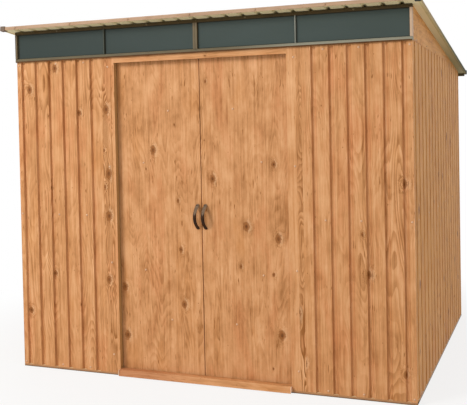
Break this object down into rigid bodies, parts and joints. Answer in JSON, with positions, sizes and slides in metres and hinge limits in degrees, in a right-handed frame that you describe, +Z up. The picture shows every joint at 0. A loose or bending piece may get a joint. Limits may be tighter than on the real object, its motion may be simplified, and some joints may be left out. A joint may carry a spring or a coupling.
{
  "type": "metal garden shed",
  "caption": "Single-pitch metal garden shed with wood-grain printed sheets, a high window strip over the front and a pair of sliding doors.",
  "frame": {"origin": "on the ground, at the middle of the whole shed's footprint with its roof", "axes": "+X along the front to the right, +Y from the doors to the back, +Z up"},
  "size_m": [2.511, 2.1605, 2.0677],
  "materials": {
    "wood_print": "satin wood-grain printed coating on sheet steel",
    "roof_coat": "satin wood-grain printed coating on sheet steel",
    "roof_trim": "satin sand-coloured coating",
    "frame_coat": "satin sand-coloured coating",
    "window_frame": "satin olive-brown coating",
    "window_pane": "smooth dark slate-green sheet",
    "corner_cap": "matt moulded plastic",
    "runner": "matt moulded nylon",
    "handle_bronze": "antique bronze coating"
  },
  "bodies": {
    "shell": {"base_rail_front": "frame_coat", "base_rail_back": "frame_coat", "base_rail_left": "frame_coat", "base_rail_right": "frame_coat", "front_wall_left": "wood_print", "front_wall_right": "wood_print", "left_wall": "wood_print", "right_wall": "wood_print", "back_wall_left": "wood_print", "back_wall_right": "wood_print", "front_corner_posts": "frame_coat", "back_corner_posts": "frame_coat", "left_jamb": "wood_print", "right_jamb": "wood_print", "door_head": "wood_print", "threshold": "wood_print", "front_top_rail": "frame_coat", "back_top_rail": "frame_coat", "left_mid_rail": "frame_coat", "right_mid_rail": "frame_coat", "back_mid_rail": "frame_coat", "left_gable": "wood_print", "right_gable": "wood_print", "window_rails": "window_frame", "window_posts": "window_frame", "window_panes": "window_pane", "roof_beam_front": "frame_coat", "roof_beam_back": "frame_coat", "roof_sheet_left": "roof_coat", "roof_sheet_middle": "roof_coat", "roof_sheet_right": "roof_coat", "left_verge": "roof_trim", "right_verge": "roof_trim", "front_fascia": "roof_trim", "eave_trim": "roof_trim", "roof_corner_caps": "corner_cap"},
    "left_leaf": {"left_door": "wood_print", "left_door_braces": "frame_coat", "left_door_runners": "runner", "left_handle": "handle_bronze"},
    "right_leaf": {"right_door": "wood_print", "right_door_braces": "frame_coat", "right_door_runners": "runner", "right_handle": "handle_bronze"}
  },
  "joints": [
    {"name": "left_door_slide", "type": "slide", "parent": "shell", "child": "left_leaf", "axis": [-1, 0, 0], "range_m": [0, 0.47]},
    {"name": "right_door_slide", "type": "slide", "parent": "shell", "child": "right_leaf", "axis": [1, 0, 0], "range_m": [0, 0.47]}
  ]
}
